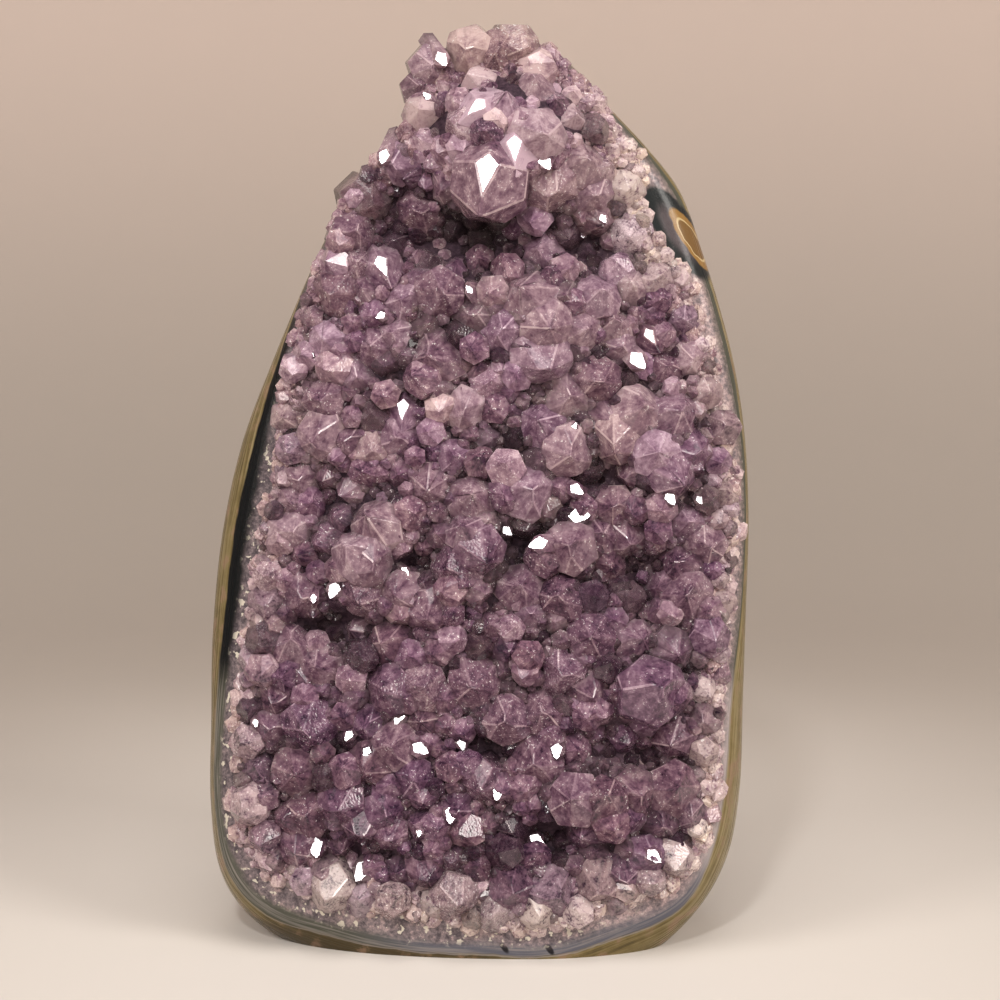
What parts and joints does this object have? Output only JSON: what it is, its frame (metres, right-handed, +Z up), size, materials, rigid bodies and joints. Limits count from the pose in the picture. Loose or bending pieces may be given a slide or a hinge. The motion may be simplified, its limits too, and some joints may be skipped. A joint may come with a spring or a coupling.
{
  "type": "polished amethyst cluster",
  "caption": "Standing amethyst cluster: a field of purple quartz points in a crust of quartz, with a ground and polished rind of agate and basalt and a sawn flat base",
  "frame": {"origin": "on the sawn base, under the middle of the stone", "axes": "+Z up, +X to the right as seen from the crystal side, +Y towards the rough back, so the crystals face -Y"},
  "size_m": [0.1252, 0.0746, 0.2094],
  "materials": {
    "rind": "ground and polished round the rim, rough behind",
    "amethyst": "glassy crystal faces, clear to milky purple"
  },
  "bodies": {
    "root": {"polished_rind": "rind", "amethyst_crust": "amethyst"}
  },
  "joints": []
}
